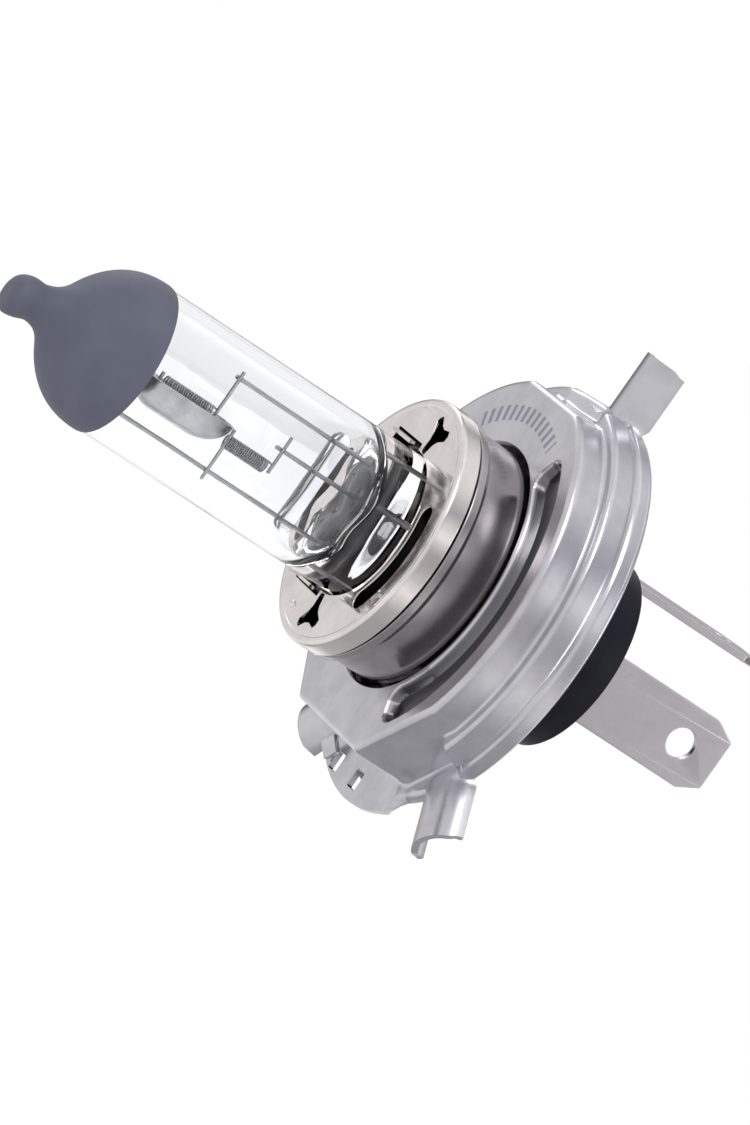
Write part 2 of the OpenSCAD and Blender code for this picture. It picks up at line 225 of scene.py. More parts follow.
def flat_plate(outlines, thickness, bevel, place):
    """A plate with rounded edges: the first outline is its edge and the others are holes.

    place is the matrix that puts the plate's own XY plane, its mid-thickness, where it belongs."""
    curve = bpy.data.curves.new("plate_outline", "CURVE")
    curve.dimensions = "2D"
    curve.fill_mode = "BOTH"
    curve.extrude = thickness / 2 - bevel
    curve.bevel_depth = bevel
    curve.bevel_resolution = 2
    curve.offset = -bevel
    for i, outline in enumerate(outlines):
        area = sum(a[0] * b[1] - b[0] * a[1] for a, b in zip(outline, outline[1:] + outline[:1]))
        if (area > 0) == (i > 0):
            outline = outline[::-1]
        spline = curve.splines.new("POLY")
        spline.points.add(len(outline) - 1)
        for target, (u, v) in zip(spline.points, outline):
            target.co = (u, v, 0, 1)
        spline.use_cyclic_u = True
    holder = bpy.data.objects.new("plate_outline", curve)
    bpy.context.scene.collection.objects.link(holder)
    graph = bpy.context.evaluated_depsgraph_get()
    mesh = bpy.data.meshes.new_from_object(holder.evaluated_get(graph))
    verts = [place @ v.co for v in mesh.vertices]
    faces = [tuple(p.vertices) for p in mesh.polygons]
    bpy.data.objects.remove(holder)
    bpy.data.curves.remove(curve)
    bpy.data.meshes.remove(mesh)
    return verts, faces


def across_axis(x):
    """Places a plate drawn as (y, z) square to the bulb axis at x."""
    return Matrix.Translation((x, 0, 0)) @ Matrix(((0, 0, 1, 0), (1, 0, 0, 0), (0, 1, 0, 0), (0, 0, 0, 1)))


def make(name, geometry, crease=35.0, flip=False, weld=0.0002, sheet=False):
    """A new object from millimetre geometry with its creases sharp.

    A closed body gets its normals outward, or inward with flip, and a bare sheet keeps its own."""
    verts, faces = geometry
    mesh = bpy.data.meshes.new(name)
    mesh.from_pydata([tuple(Vector(v) * MM) for v in verts], [], faces)
    bm = bmesh.new()
    bm.from_mesh(mesh)
    bmesh.ops.remove_doubles(bm, verts=bm.verts, dist=weld * MM)
    bmesh.ops.dissolve_degenerate(bm, edges=bm.edges, dist=weld * MM)
    if not sheet:
        bmesh.ops.recalc_face_normals(bm, faces=bm.faces)
    if flip:
        bmesh.ops.reverse_faces(bm, faces=bm.faces)
    bm.to_mesh(mesh)
    bm.free()
    mesh.shade_smooth()
    mesh.set_sharp_from_angle(angle=math.radians(crease))
    piece = bpy.data.objects.new(name, mesh)
    bpy.context.scene.collection.objects.link(piece)
    return piece


def applied(piece, crease=35.0):
    """Bakes an object's modifiers into its mesh."""
    graph = bpy.context.evaluated_depsgraph_get()
    mesh = bpy.data.meshes.new_from_object(piece.evaluated_get(graph))
    piece.modifiers.clear()
    old = piece.data
    piece.data = mesh
    bpy.data.meshes.remove(old)
    mesh.shade_smooth()
    mesh.set_sharp_from_angle(angle=math.radians(crease))
    return piece


def thicken(piece, thickness, offset):
    """Gives a sheet its thickness; offset is -1 inwards and 1 outwards."""
    shell = piece.modifiers.new("thickness", "SOLIDIFY")
    shell.thickness = thickness * MM
    shell.offset = offset
    shell.use_even_offset = True
    shell.use_quality_normals = True
    return applied(piece)


def carve(piece, cutter):
    """Cuts one object out of another."""
    cut = piece.modifiers.new("cut", "BOOLEAN")
    cut.operation = "DIFFERENCE"
    cut.solver = "EXACT"
    cut.object = cutter
    applied(piece)
    bpy.data.objects.remove(cutter)
    return piece


def merge(name, *pieces):
    """Joins objects into one mesh."""
    bm = bmesh.new()
    for piece in pieces:
        bm.from_mesh(piece.data)
        bpy.data.objects.remove(piece)
    mesh = bpy.data.meshes.new(name)
    bm.to_mesh(mesh)
    bm.free()
    mesh.shade_smooth()
    mesh.set_sharp_from_angle(angle=math.radians(35))
    result = bpy.data.objects.new(name, mesh)
    bpy.context.scene.collection.objects.link(result)
    return result


def settle(piece, slot, material, *nodes):
    """Rides a finished piece on the bulb, gives it its finish and stands it in for its frame nodes."""
    if not piece.data.polygons:
        raise RuntimeError(f"{piece.name} came out empty")
    even = piece.modifiers.new("even_shading", "WEIGHTED_NORMAL")
    even.keep_sharp = True
    even.weight = 80
    piece.data.materials.clear()
    piece.data.materials.append(material)
    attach(piece, ROOT)
    if nodes:
        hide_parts(*nodes)
    return piece


# ---------------------------------------------------------------- shader maths


class Value:
    """A shader socket that takes part in Python expressions. Each operator adds its Math node."""

    def __init__(self, shader, socket):
        self.shader = shader
        self.socket = socket

    def math(self, operation, *values):
        inputs = dict(enumerate(values))
        return self.shader.node("ShaderNodeMath", {"operation": operation}, inputs)

    def __add__(self, other):
        return self.math("ADD", self, other)

    def __radd__(self, other):
        return self.math("ADD", other, self)

    def __sub__(self, other):
        return self.math("SUBTRACT", self, other)

    def __rsub__(self, other):
        return self.math("SUBTRACT", other, self)

    def __mul__(self, other):
        return self.math("MULTIPLY", self, other)

    def __rmul__(self, other):
        return self.math("MULTIPLY", other, self)

    def __truediv__(self, other):
        return self.math("DIVIDE", self, other)

    def __pow__(self, other):
        return self.math("POWER", self, other)


class Shader:
    """One material's node tree and the nodes that it is made of."""

    def __init__(self, name):
        self.material = bpy.data.materials.new(name)
        self.material.use_nodes = True
        self.tree = self.material.node_tree
        self.tree.nodes.clear()

    def node(self, kind, settings=None, inputs=None, output=0):
        """Adds a node: its settings first, then its sockets' values or links. Gives back one output."""
        node = self.tree.nodes.new(kind)
        for key, value in (settings or {}).items():
            if key == "stops":
                self.set_stops(node.color_ramp, value)
            else:
                setattr(node, key, value)
        for key, value in (inputs or {}).items():
            socket = node.inputs[key]
            if isinstance(value, Value):
                self.tree.links.new(value.socket, socket)
            else:
                socket.default_value = value
        return Value(self, node.outputs[output]) if node.outputs else None

    @staticmethod
    def set_stops(ramp, stops):
        while len(ramp.elements) < len(stops):
            ramp.elements.new(0.5)
        for element, (position, colour) in zip(ramp.elements, stops):
            element.position = position
            element.color = colour

    def place(self):
        """Object coordinates in millimetres, as x, y, z values."""
        vector = self.node("ShaderNodeTexCoord", output="Object")
        vector = self.node("ShaderNodeVectorMath", {"operation": "SCALE"}, {0: vector, "Scale": 1 / MM})
        parts = self.node("ShaderNodeSeparateXYZ", inputs={0: vector})
        outputs = parts.socket.node.outputs
        return vector, Value(self, outputs[0]), Value(self, outputs[1]), Value(self, outputs[2])

    def noise(self, vector, scale, detail=3.0, roughness=0.5):
        settings = {"noise_dimensions": "3D"}
        inputs = {"Vector": vector, "Scale": scale, "Detail": detail, "Roughness": roughness}
        return self.node("ShaderNodeTexNoise", settings, inputs)

    def vector(self, x, y, z):
        return self.node("ShaderNodeCombineXYZ", inputs={0: x, 1: y, 2: z})

    def ramp(self, value, low, high):
        """0 at low and 1 at high, clamped between."""
        return self.node("ShaderNodeMapRange", {"clamp": True}, {0: value, 1: low, 2: high, 3: 0.0, 4: 1.0})

    def mix(self, share, a, b):
        """A colour between a and b."""
        settings = {"data_type": "RGBA"}
        return self.node("ShaderNodeMix", settings, {0: share, 6: a, 7: b}, output=2)

    def bump(self, height, strength, distance):
        inputs = {"Height": height, "Strength": strength, "Distance": distance}
        return self.node("ShaderNodeBump", None, inputs)

    def surface(self, **inputs):
        """Finishes the material with a Principled surface. Socket names use _ for a space."""
        sockets = {key.replace("_", " "): value for key, value in inputs.items()}
        shader = self.node("ShaderNodeBsdfPrincipled", None, sockets)
        self.node("ShaderNodeOutputMaterial", None, {"Surface": shader})
        return self.material


def rgb(colour):
    return (*colour[:3], 1.0)


def darker(colour, share):
    """A colour dimmed to a share of its brightness, or brightened where the share is over 1."""
    return [channel * share for channel in colour]


def turned_metal(name, colour, shade, rough, grain=0.06, blotch=0.12, relief=0.06, painted_shade_radius=0.0):
    """Plated sheet turned or drawn round the axis: fine rings, faint blotches and soft stains.

    Inside the given radius its colour is painted near black as shade, and it is rougher."""
    shader = Shader(name)
    vector, x, y, z = shader.place()
    radius = (y * y + z * z) ** 0.5
    rings = shader.noise(shader.vector(x * 9, radius * 9, 0.0), 1.0, 4.0, 0.7)
    cloud = shader.noise(vector, 0.22, 4.0, 0.6)
    specks = shader.noise(vector, 5.0, 2.0, 0.6)
    stain = shader.ramp(cloud, 0.38, 0.68)
    tint = shader.mix(stain, rgb(colour), rgb(shade))
    tint = shader.mix(shader.ramp(specks, 0.66, 0.8) * 0.25, tint, rgb(darker(colour, 0.55)))
    # Painted shade: the colour goes near black inside the given radius.
    inside = 1 - shader.ramp(radius, painted_shade_radius - 0.1, painted_shade_radius)
    tint = shader.mix(inside * 0.92, tint, (0.02, 0.02, 0.022, 1))
    gloss = rough + (rings - 0.5) * grain + (cloud - 0.5) * blotch + inside * 0.3
    height = rings * 0.9 + specks * 0.1
    return shader.surface(
        Base_Color=tint,
        Metallic=1.0,
        Roughness=gloss,
        Normal=shader.bump(height, relief, 0.02 * MM),
    )


def drawn_metal(name, colour, shade, rough, along=(0.4, 6.0, 6.0), strength=0.2):
    """Sheet or wire with fine lines along its length and a little tarnish."""
    shader = Shader(name)
    vector, x, y, z = shader.place()
    lines = shader.noise(shader.vector(x * along[0], y * along[1], z * along[2]), 1.6, 5.0, 0.65)
    cloud = shader.noise(vector, 0.35, 4.0, 0.6)
    tint = shader.mix(shader.ramp(cloud, 0.35, 0.7), rgb(colour), rgb(shade))
    return shader.surface(
        Base_Color=tint,
        Metallic=1.0,
        Roughness=rough + (lines - 0.5) * 0.12 + (cloud - 0.5) * 0.1,
        Normal=shader.bump(lines, strength, 0.02 * MM),
    )


def clear_glass(name, tint, rough=0.0):
    """Clear glass with a faint ripple in its surface."""
    shader = Shader(name)
    vector, x, y, z = shader.place()
    ripple = shader.noise(shader.vector(x * 0.12, y * 0.35, z * 0.35), 1.0, 2.0, 0.4)
    return shader.surface(
        Base_Color=rgb(tint),
        Roughness=rough,
        IOR=1.46,
        Transmission_Weight=1.0,
        Normal=shader.bump(ripple, 0.06, 0.3 * MM),
    )


def matt_paint(name, colour, shade):
    """Sprayed heat-proof paint: matt, faintly pebbled and uneven in tone."""
    shader = Shader(name)
    vector, x, y, z = shader.place()
    pebble = shader.noise(vector, 6.0, 3.0, 0.55)
    cloud = shader.noise(vector, 0.25, 3.0, 0.5)
    tint = shader.mix(shader.ramp(cloud, 0.35, 0.7), rgb(colour), rgb(shade))
    return shader.surface(
        Base_Color=tint,
        Roughness=0.62 + (pebble - 0.5) * 0.15,
        Normal=shader.bump(pebble, 0.25, 0.03 * MM),
    )


def moulded_plastic(name, colour, rough):
    """Dark moulded material with a fine spark-eroded texture."""
    shader = Shader(name)
    vector, x, y, z = shader.place()
    texture = shader.noise(vector, 9.0, 3.0, 0.6)
    cloud = shader.noise(vector, 0.4, 3.0, 0.5)
    tint = shader.mix(shader.ramp(cloud, 0.3, 0.7), rgb(colour), rgb(darker(colour, 1.6)))
    return shader.surface(
        Base_Color=tint,
        Specular_IOR_Level=0.12,
        Roughness=rough + (texture - 0.5) * 0.2,
        Normal=shader.bump(texture, 0.2, 0.02 * MM),
    )


# ---------------------------------------------------------------- sizes and colours that a user may change


class BulbGlass(bpy.types.PropertyGroup):
    wall: FloatProperty(
        name="Wall",
        description="Thickness of the glass tube",
        default=1.2 * MM,
        unit="LENGTH",
        precision=4,
    )
    floor_x: FloatProperty(
        name="Chamber floor",
        description="Distance from the lugs to the floor of the gas space",
        default=17.4 * MM,
        unit="LENGTH",
        precision=4,
    )
    tip_bend: FloatProperty(
        name="Tip bend",
        description="How far the exhaust tip leans",
        default=0.7 * MM,
        unit="LENGTH",
        precision=4,
    )
    tint: FloatVectorProperty(
        name="Glass",
        description="Colour of the clear glass",
        default=(0.985, 0.99, 1.0),
        subtype="COLOR",
        size=3,
    )
    paint: FloatVectorProperty(
        name="Coating",
        description="Colour of the dome coating",
        default=(0.072, 0.078, 0.112),
        subtype="COLOR",
        size=3,
    )


class BulbFilaments(bpy.types.PropertyGroup):
    turns: IntProperty(name="Turns", description="Turns in each filament", default=20, min=6, max=40)
    wire: FloatProperty(
        name="Filament wire",
        description="Diameter of the coiled wire",
        default=0.2 * MM,
        unit="LENGTH",
        precision=5,
    )
    metal: FloatVectorProperty(
        name="Wire",
        description="Colour of leads and cross wires",
        default=(0.40, 0.40, 0.43),
        subtype="COLOR",
        size=3,
    )


class BulbCap(bpy.types.PropertyGroup):
    sheet: FloatProperty(
        name="Sheet",
        description="Thickness of the pressed flange",
        default=0.6 * MM,
        unit="LENGTH",
        precision=5,
    )
    nickel: FloatVectorProperty(
        name="Nickel",
        description="Colour of the polished collar",
        default=(0.83, 0.775, 0.745),
        subtype="COLOR",
        size=3,
    )
    steel: FloatVectorProperty(
        name="Plating",
        description="Colour of the flange's plating",
        default=(0.62, 0.61, 0.645),
        subtype="COLOR",
        size=3,
    )
    sleeve: FloatVectorProperty(
        name="Sleeve",
        description="Colour of the sleeve's plating",
        default=(0.42, 0.395, 0.40),
        subtype="COLOR",
        size=3,
    )


class BulbContacts(bpy.types.PropertyGroup):
    edge: FloatProperty(
        name="Blade edge",
        description="Rounding of the blades' edges",
        default=0.12 * MM,
        unit="LENGTH",
        precision=5,
    )
    tin: FloatVectorProperty(
        name="Tin",
        description="Colour of the blades' plating",
        default=(0.60, 0.565, 0.575),
        subtype="COLOR",
        size=3,
    )
    body: FloatVectorProperty(
        name="Insulator",
        description="Colour of the insulator",
        default=(0.006, 0.006, 0.011),
        subtype="COLOR",
        size=3,
    )


class BulbStage(bpy.types.PropertyGroup):
    drop: FloatProperty(
        name="Floor drop",
        description="Distance from the axis down to the floor",
        default=0.11,
        unit="LENGTH",
    )
    azimuth: FloatProperty(
        name="Azimuth",
        description="Camera direction from +X towards +Y",
        default=math.radians(64.71),
        subtype="ANGLE",
    )
    elevation: FloatProperty(
        name="Elevation",
        description="Camera height above the horizon",
        default=math.radians(3.45),
        subtype="ANGLE",
    )
    roll: FloatProperty(
        name="Roll",
        description="Turn of the camera about its own axis",
        default=math.radians(34.90),
        subtype="ANGLE",
    )
    distance: FloatProperty(
        name="Distance",
        description="Camera distance from its aim point",
        default=0.8,
        unit="LENGTH",
    )
    aim: FloatVectorProperty(
        name="Aim",
        description="Point that the camera looks at",
        default=(9.66 * MM, -4.34 * MM, -3.40 * MM),
        subtype="XYZ",
        unit="LENGTH",
        size=3,
        precision=4,
    )
    lens: FloatProperty(name="Lens", description="Focal length in millimetres", default=262.64)


# ---------------------------------------------------------------- glass

DOME_START = 46.2
FLANK_R, FLANK_X = 5.3, 52.0
NECK_X = 54.0
PIP_START = 57.0
TUBE_END = 13.8
PINCH_FRONT = 10.4
PINCH_HALF = (1.9, 6.5)
GLASS_R = GLASS_HIGH.z
TIP_X = GLASS_HIGH.x
PIP_R = 2.0


def dome_outline(grow):
    """The dome and exhaust tip as (radius, x) points from the tube forward, grown outwards by grow."""
    r, g = GLASS_R, grow
    turn = (FLANK_R + g, FLANK_X + g)
    shoulder = bezier([(r + g, DOME_START), (r + g, 48.8 + g), (6.8 + g, 50.6 + g), turn], 20)
    neck = bezier([turn, (3.8 + g, 53.4 + g), (PIP_R + 0.05 + g, 53.9 + g), (1.78 + g, PIP_START - 0.6)], 16)
    knob = bezier([(1.78 + g, PIP_START - 0.6), (1.8 + g, 57), (PIP_R + g, 57.2), (PIP_R + g, 58.0)], 6)
    end = bezier([(PIP_R + g, 58.0), (PIP_R + g, 58.9 + g), (1.6 + g, TIP_X + g), (0.5, TIP_X + g)], 8)
    return shoulder + neck[1:] + knob[1:] + end[1:] + [(0.0, TIP_X + g - 0.02)]


def leaning(bend):
    """A warp that leans the exhaust tip downwards past the neck."""
    reach = TIP_X - NECK_X

    def warp(point):
        past = max(0.0, point.x - NECK_X) / reach
        return point + Vector((0, 0, -bend * past * past))

    return warp


def folded_floor(floor_x):
    """A warp that gives the floor of the gas space the folds left when the glass was pinched."""

    def warp(point):
        near = 1 - smooth(0.6, 4.0, point.x - floor_x)
        fold = math.cos(point.y * 0.8) * 0.4 + math.sin(point.z * 1.1 + point.y * 0.6) * 0.25
        reach = math.hypot(point.y, point.z) / GLASS_R
        return point + Vector((fold * near * (1 - reach ** 4), 0, 0))

    return warp


def section(x):
    """Half thickness, half width and squareness of the glass across the axis at x."""
    share = 1 - smooth(PINCH_FRONT, TUBE_END, x)
    half_y = blend(GLASS_R, PINCH_HALF[0], share)
    half_z = blend(GLASS_R, PINCH_HALF[1], share)
    return half_y, half_z, blend(2.0, 7.0, share * share)


def outer_glass(segments, warp):
    """The outside of the envelope, from the flat pinch to the tip."""
    stations = [GLASS_LOW.x, GLASS_LOW.x + 0.25]
    stations += [blend(GLASS_LOW.x + 0.25, PINCH_FRONT, i / 4) for i in range(1, 5)]
    stations += [blend(PINCH_FRONT, TUBE_END, i / 12) for i in range(1, 13)]
    stations += [blend(TUBE_END, DOME_START, i / 16) for i in range(1, 16)]
    rings = []
    for x in stations:
        half_y, half_z, power = section(x)
        trim = 0.25 if x == GLASS_LOW.x else 0.0
        rings.append((x, half_y - trim, half_z - trim, power))
    rings += [(x, r, r, 2.0) for r, x in dome_outline(0.0)]

    def corner(i, k):
        x, half_y, half_z, power = rings[i]
        turn = TAU * k / segments
        s, c = math.sin(turn), math.cos(turn)
        y = math.copysign(abs(s) ** (2 / power), s) * half_y
        z = math.copysign(abs(c) ** (2 / power), c) * half_z
        return warp(Vector((x, y, z)))

    verts, faces = grid(len(rings), segments, corner, wrap=True)
    faces.append(tuple(range(segments)))
    return verts, faces


def gas_outline(wall, floor_x):
    """The gas space as a closed (radius, x) outline."""
    r = GLASS_R - wall
    floor = bezier([(0.0, floor_x + 0.5), (3.5, floor_x + 0.5), (r, floor_x), (r, floor_x + 3.2)], 28)
    shoulder = bezier([(r, DOME_START - 0.4), (r, 48), (5.6, 49.5), (4.2, 50.8)], 14)
    neck = bezier([(4.2, 50.8), (2.9, 52.0), (0.8, 52.2), (0.0, 53.8)], 8)
    return floor + shoulder + neck[1:]


class BULB_OT_glass(bpy.types.Operator):
    """Make the clear envelope and the grey coating on its dome"""

    bl_idname = "bulb.glass"
    bl_label = "Glass and coating"

    def execute(self, context):
        size = context.scene.bulb_glass
        warp = leaning(size.tip_bend / MM)
        outside = make("glass_outside", outer_glass(128, warp), crease=60)
        floor_x = size.floor_x / MM
        cavity = lathe(gas_outline(size.wall / MM, floor_x), 128, folded_floor(floor_x))
        inside = make("glass_inside", cavity, crease=60, flip=True)
        glass = merge("glass_envelope_clear", outside, inside)
        settle(glass, "clear_glass", clear_glass("clear glass", size.tint), "glass_envelope")

        depth = COAT_HIGH.z - GLASS_R
        edge = COAT_LOW.x
        skin = [(GLASS_R + 0.02, edge), (GLASS_R + depth * 0.7, edge + 0.06), (GLASS_R + depth, edge + 0.35)]
        skin += dome_outline(depth)
        lining = [(r, x) for r, x in dome_outline(-0.03)]
        coat_outline = skin + lining[::-1] + [(GLASS_R - 0.03, edge)]
        coat = make("dome_coating", lathe(coat_outline, 128, warp), crease=50)
        lighter = darker(size.paint, 1.18)
        settle(coat, "grey_coating", matt_paint("grey dome paint", size.paint, lighter), "top_coating")
        return {"FINISHED"}


# ---------------------------------------------------------------- filaments, leads and shield


def centre_of(node):
    low, high = span(node)
    return (low + high) / 2


def helix(x0, x1, z, radius, turns, start_turn=0.0, per_turn=18):
    """Points along a close coil about the line y = 0 at height z."""
    total = int(turns * per_turn)
    points = []
    for i in range(total + 1):
        share = i / total
        turn = TAU * (start_turn + turns * share)
        points.append(Vector((blend(x0, x1, share), radius * math.sin(turn), z + radius * math.cos(turn))))
    return points


class BULB_OT_filaments(bpy.types.Operator):
    """Make both filaments, the leads, the cross wires and the quartz bridge"""

    bl_idname = "bulb.filaments"
    bl_label = "Filaments and leads"

    def execute(self, context):
        size = context.scene.bulb_filaments
        wire_r = size.wire / MM / 2
        lead_look = drawn_metal("drawn lead wire", size.metal, darker(size.metal, 0.7), 0.32, (0.3, 8, 8))
        leg_look = drawn_metal("drawn cross wire", size.metal, darker(size.metal, 0.8), 0.28, (8, 8, 0.3))
        dark = darker(size.metal, 0.72)
        coil_look = drawn_metal("filament wire", dark, darker(dark, 0.7), 0.38, (3, 3, 3))

        for node in ("lead_low", "lead_high", "lead_common"):
            low, high = span(node)
            middle = (low + high) / 2
            radius = (high.z - low.z) / 2
            path = []
            for i in range(25):
                share = i / 24
                sway = 0.05 * math.sin(share * 9 + middle.z)
                path.append((blend(low.x, high.x, share), sway * (share * (1 - share)) * 4, middle.z))
            settle(make(node + "_wire", tube(path, radius, 24)), "lead_wire", lead_look, node)

        for node in ("low_rear_leg", "low_front_leg", "high_rear_leg", "shield_leg"):
            low, high = span(node)
            middle = (low + high) / 2
            path = [(middle.x, middle.y, blend(low.z, high.z, i / 12)) for i in range(13)]
            settle(make(node + "_wire", tube(path, (high.x - low.x) / 2, 20)), "cross_wire", leg_look, node)

        for node, rear, front in (
            ("low_coil", "low_rear_leg", "low_front_leg"),
            ("high_coil", "high_rear_leg", "shield_leg"),
        ):
            low, high = span(node)
            middle = (low + high) / 2
            radius = (high.z - low.z) / 2 - wire_r
            inset = 0.35
            coil = helix(low.x + inset, high.x - inset, middle.z, radius, size.turns + 0.5)
            rear_leg, front_leg = centre_of(rear), centre_of(front)
            tail_in = Vector((rear_leg.x, rear_leg.y * 0.7, middle.z + radius * 0.8))
            tail_out = Vector((min(front_leg.x, high.x), front_leg.y * 0.7, middle.z - radius * 0.8))
            path = [tail_in, (tail_in + coil[0]) / 2] + coil + [(coil[-1] + tail_out) / 2, tail_out]
            settle(make(node + "_wound", tube(path, wire_r, 8)), "filament_wire", coil_look, node)

        low, high = BRIDGE_LOW, BRIDGE_HIGH
        middle = (low + high) / 2
        radius = (high.x - low.x) / 2
        outline = []
        for i in range(33):
            share = i / 32
            end = min(share, 1 - share) * (high.z - low.z)
            r = radius * math.sqrt(max(0.0, 1 - max(0.0, 1 - end / radius) ** 2))
            outline.append((r * (1 - 0.08 * math.sin(math.pi * share)), blend(low.z, high.z, share)))
        sides = 32

        def skin(i, k):
            r, z = outline[i]
            turn = TAU * k / sides
            return Vector((middle.x + r * math.cos(turn), r * math.sin(turn), z))

        bridge = make("quartz_bridge_rod", grid(len(outline), sides, skin, wrap=True), crease=60)
        quartz = clear_glass("bridge quartz", (0.93, 0.94, 0.97), 0.03)
        settle(bridge, "bridge_glass", quartz, "quartz_bridge")
        return {"FINISHED"}


class BULB_OT_shield(bpy.types.Operator):
    """Make the boat-shaped shield under the low-beam filament"""

    bl_idname = "bulb.shield"
    bl_label = "Low-beam shield"

    def execute(self, context):
        low, high = SHIELD_LOW, SHIELD_HIGH
        radius = (high.y - low.y) / 2 - 0.14
        top = high.z
        rows, columns = 57, 41

        def corner(i, j):
            turn = math.pi * i / (rows - 1)
            x = blend(low.x + 0.16, high.x - 0.16, (1 - math.cos(turn)) / 2)
            rear, front = x - low.x - 0.16, high.x - 0.16 - x
            r = radius
            for reach, length in ((rear, radius * 1.35), (front, radius)):
                if reach < length:
                    r = min(r, radius * math.sqrt(max(0.0005, 1 - (1 - reach / length) ** 2)))
            across = blend(-1.0, 1.0, j / (columns - 1))
            lip = 0.14 * smooth(0.86, 1.0, abs(across))
            swing = math.radians(90 * across)
            return Vector((x, (r + lip) * math.sin(swing), top - r * math.cos(swing)))

        shield = make("shield_boat", grid(rows, columns, corner), crease=60, sheet=True)
        shield = thicken(shield, 0.22, -1)
        look = drawn_metal("shield sheet", (0.50, 0.50, 0.52), (0.30, 0.30, 0.32), 0.3, (0.5, 5, 5))
        settle(shield, "shield_sheet", look, "low_beam_shield")
        return {"FINISHED"}


# ---------------------------------------------------------------- cap

TICK_RING = (16.2, 17.9)
TICK_SPAN = (-36.0, 22.0)
ARC_SLOT = (9.2, 11.3)
ARC_SLOT_SPAN = (68, 128)
STAR_R = 10.5
SLEEVE_R = 13.1
CLIP_RING = (11.7, 12.5)
HOOP = (8.35, 8.7)
HOOP_BACK = 11.6


def star(centre, spin, arm, half=0.42, waist=0.62):
    """A relief cut with three blunt arms, as (y, z) points."""
    points = []
    root = half + 0.16
    profile = ((waist, -root), (arm, -half), (arm + 0.2, 0), (arm, half), (waist, root))
    for a in (0, 118, 242):
        for out, across in profile:
            turn = math.radians(spin + a)
            u = math.sin(turn) * out + math.cos(turn) * across
            v = math.cos(turn) * out - math.sin(turn) * across
            points.append((centre[0] + u, centre[1] + v))
    return points


def ring_section(radii, back, front):
    """The (radius, x) outline of a plain ring with its edges just broken."""
    inner, outer = radii
    return rounded([(inner, back, 0.1), (outer, back, 0.1), (outer, front, 0.1), (inner, front, 0.1)], 3)


def oblong(low, high, fillet, steps=5):
    """A rectangle between two (u, v) corners with rounded corners."""
    (u0, v0), (u1, v1) = low, high
    return rounded([(u0, v0, fillet), (u1, v0, fillet), (u1, v1, fillet), (u0, v1, fillet)], steps)


def collar_hole(radius, edge_z, reach_y):
    """The collar's opening: round, with a straight-edged bay at the top and the bottom of its far side."""
    points = []
    for i in range(0, 181, 3):
        points.append(tuple(clock(radius, i)[1:]))
    start = math.sqrt(radius * radius - 16)
    bay = [(-0.4, -radius), (-0.4, -edge_z), (-reach_y, -edge_z), (-reach_y, -4.0)]
    points += bay
    for i in range(0, 61, 3):
        points.append(tuple(clock(radius, 180 + 63 + i * 54 / 60)[1:]))
    points += [(-reach_y, 4.0), (-reach_y, edge_z), (-0.4, edge_z), (-0.4, radius)]
    return [p for p in points if p[0] > -start - 0.5]


